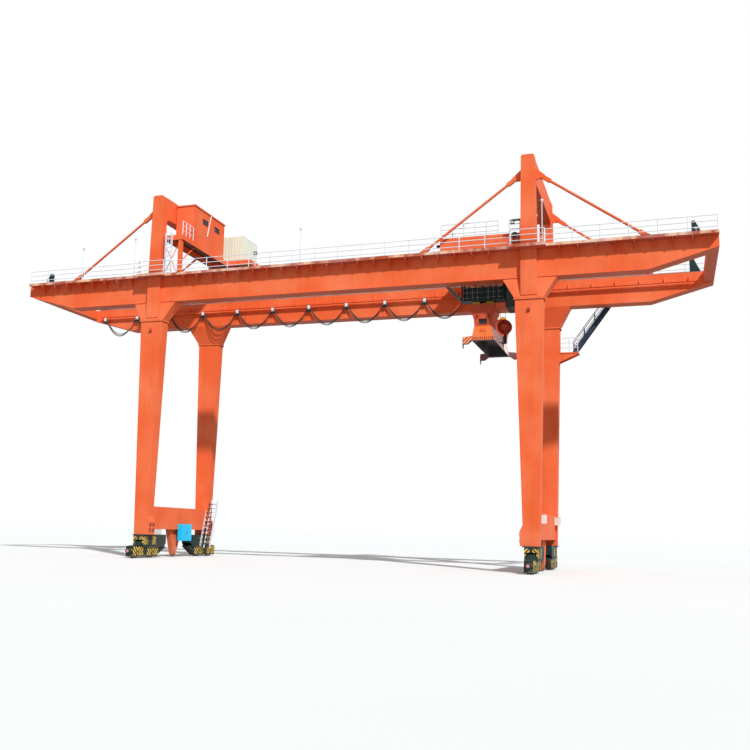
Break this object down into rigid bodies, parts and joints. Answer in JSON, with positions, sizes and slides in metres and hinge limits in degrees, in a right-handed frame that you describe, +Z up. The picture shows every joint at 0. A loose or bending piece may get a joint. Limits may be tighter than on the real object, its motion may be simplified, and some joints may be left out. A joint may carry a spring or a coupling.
{
  "type": "rail mounted container gantry crane, 1:2 scale model",
  "caption": "Portal crane on rail bogies: twin box girders with overhangs, stayed portals, walkways, a trolley with hanging cab and festoon, and a container spreader on hoist ropes.",
  "frame": {"origin": "on the ground, midway between the four legs", "axes": "+X along the girders towards the end where the trolley stands, +Y along the gantry rails towards the girder that carries the festoon, +Z up"},
  "size_m": [23.25, 6.1, 12.5],
  "materials": {
    "orange_paint": "sun bleached gloss",
    "pale_paint": "satin",
    "dark_green_paint": "dusty satin",
    "hazard_paint": "dusty satin with yellow and black stripes",
    "rail_steel": "worn running face",
    "wheel_steel": "worn tread",
    "cream_paint": "corrugated satin",
    "cable_rubber": "matt",
    "slate_paint": "satin",
    "blue_paint": "gloss",
    "white_paint": "satin",
    "grey_green_paint": "satin",
    "rope_steel": "greased strand",
    "red_brown_paint": "dusty satin",
    "yellow_paint": "satin",
    "reel_red_paint": "satin",
    "guide_blue_paint": "scuffed satin"
  },
  "bodies": {
    "gantry": {"front_girder": "orange_paint", "rear_girder": "orange_paint", "end_beams": "orange_paint", "front_legs": "orange_paint", "rear_legs": "orange_paint", "leg_heads": "orange_paint", "leg_feet": "dark_green_paint", "sill_beams": "orange_paint", "portal_posts": "orange_paint", "portal_beams": "orange_paint", "stays": "orange_paint", "stay_lugs": "orange_paint", "front_walkway": "orange_paint", "rear_walkway": "orange_paint", "front_railing": "pale_paint", "rear_railing": "pale_paint", "lamp_poles": "pale_paint", "trolley_rails": "rail_steel", "end_stops": "dark_green_paint", "machine_house": "orange_paint", "house_platform": "orange_paint", "house_posts": "orange_paint", "house_ladder": "pale_paint", "electrical_room": "cream_paint", "festoon_track": "orange_paint", "festoon_carriers": "dark_green_paint", "festoon_cables": "cable_rubber", "access_landing": "orange_paint", "access_stair": "slate_paint", "leg_ladder": "orange_paint", "sill_ladder": "pale_paint", "blue_cabinet": "blue_paint", "white_cabinets": "white_paint", "anchor_fins": "orange_paint"},
    "trolley": {"trolley_frame": "orange_paint", "trolley_deck": "orange_paint", "trolley_wheels": "wheel_steel", "hoist_gear": "dark_green_paint", "trolley_railing": "pale_paint", "trolley_catwalk": "dark_green_paint", "trolley_stair": "grey_green_paint", "operator_cab": "dark_green_paint", "hoist_ropes": "rope_steel"},
    "spreader": {"spreader_frame": "orange_paint", "rope_towers": "red_brown_paint", "sheave_guards": "yellow_paint", "cable_reel": "reel_red_paint", "corner_guides": "guide_blue_paint"},
    "bogie_front_left": {"bogie_front_left": "hazard_paint"},
    "bogie_front_right": {"bogie_front_right": "hazard_paint"},
    "bogie_rear_left": {"bogie_rear_left": "hazard_paint"},
    "bogie_rear_right": {"bogie_rear_right": "hazard_paint"},
    "wheel_front_left_outer": {"wheel_front_left_outer": "wheel_steel"},
    "wheel_front_left_inner": {"wheel_front_left_inner": "wheel_steel"},
    "wheel_front_right_outer": {"wheel_front_right_outer": "wheel_steel"},
    "wheel_front_right_inner": {"wheel_front_right_inner": "wheel_steel"},
    "wheel_rear_left_outer": {"wheel_rear_left_outer": "wheel_steel"},
    "wheel_rear_left_inner": {"wheel_rear_left_inner": "wheel_steel"},
    "wheel_rear_right_outer": {"wheel_rear_right_outer": "wheel_steel"},
    "wheel_rear_right_inner": {"wheel_rear_right_inner": "wheel_steel"}
  },
  "joints": [
    {"name": "trolley_travel", "type": "slide", "parent": "gantry", "child": "trolley", "axis": [1, 0, 0], "range_m": [-13.23, 4.69], "deforming": ["festoon_carriers", "festoon_cables"]},
    {"name": "hoist", "type": "slide", "parent": "trolley", "child": "spreader", "axis": [0, 0, 1], "range_m": [-6.4, 0], "deforming": ["hoist_ropes"]},
    {"name": "bogie_front_left_rock", "type": "hinge", "parent": "gantry", "child": "bogie_front_left", "pos_m": [-6.375, -2.15, 0.56], "axis": [1, 0, 0], "range_deg": [-2, 2]},
    {"name": "bogie_front_right_rock", "type": "hinge", "parent": "gantry", "child": "bogie_front_right", "pos_m": [6.375, -2.15, 0.56], "axis": [1, 0, 0], "range_deg": [-2, 2]},
    {"name": "bogie_rear_left_rock", "type": "hinge", "parent": "gantry", "child": "bogie_rear_left", "pos_m": [-6.375, 2.15, 0.56], "axis": [1, 0, 0], "range_deg": [-2, 2]},
    {"name": "bogie_rear_right_rock", "type": "hinge", "parent": "gantry", "child": "bogie_rear_right", "pos_m": [6.375, 2.15, 0.56], "axis": [1, 0, 0], "range_deg": [-2, 2]},
    {"name": "wheel_front_left_outer_roll", "type": "hinge", "parent": "bogie_front_left", "child": "wheel_front_left_outer", "pos_m": [-6.375, -2.63, 0.175], "axis": [1, 0, 0], "continuous": true},
    {"name": "wheel_front_left_inner_roll", "type": "hinge", "parent": "bogie_front_left", "child": "wheel_front_left_inner", "pos_m": [-6.375, -1.67, 0.175], "axis": [1, 0, 0], "continuous": true},
    {"name": "wheel_front_right_outer_roll", "type": "hinge", "parent": "bogie_front_right", "child": "wheel_front_right_outer", "pos_m": [6.375, -2.63, 0.175], "axis": [1, 0, 0], "continuous": true},
    {"name": "wheel_front_right_inner_roll", "type": "hinge", "parent": "bogie_front_right", "child": "wheel_front_right_inner", "pos_m": [6.375, -1.67, 0.175], "axis": [1, 0, 0], "continuous": true},
    {"name": "wheel_rear_left_outer_roll", "type": "hinge", "parent": "bogie_rear_left", "child": "wheel_rear_left_outer", "pos_m": [-6.375, 2.63, 0.175], "axis": [1, 0, 0], "continuous": true},
    {"name": "wheel_rear_left_inner_roll", "type": "hinge", "parent": "bogie_rear_left", "child": "wheel_rear_left_inner", "pos_m": [-6.375, 1.67, 0.175], "axis": [1, 0, 0], "continuous": true},
    {"name": "wheel_rear_right_outer_roll", "type": "hinge", "parent": "bogie_rear_right", "child": "wheel_rear_right_outer", "pos_m": [6.375, 2.63, 0.175], "axis": [1, 0, 0], "continuous": true},
    {"name": "wheel_rear_right_inner_roll", "type": "hinge", "parent": "bogie_rear_right", "child": "wheel_rear_right_inner", "pos_m": [6.375, 1.67, 0.175], "axis": [1, 0, 0], "continuous": true}
  ],
  "couplings": [
    {"joint": "wheel_front_left_inner_roll", "follows": "wheel_front_left_outer_roll", "ratio": 1},
    {"joint": "wheel_front_right_outer_roll", "follows": "wheel_front_left_outer_roll", "ratio": 1},
    {"joint": "wheel_front_right_inner_roll", "follows": "wheel_front_left_outer_roll", "ratio": 1},
    {"joint": "wheel_rear_left_outer_roll", "follows": "wheel_front_left_outer_roll", "ratio": 1},
    {"joint": "wheel_rear_left_inner_roll", "follows": "wheel_front_left_outer_roll", "ratio": 1},
    {"joint": "wheel_rear_right_outer_roll", "follows": "wheel_front_left_outer_roll", "ratio": 1},
    {"joint": "wheel_rear_right_inner_roll", "follows": "wheel_front_left_outer_roll", "ratio": 1}
  ]
}
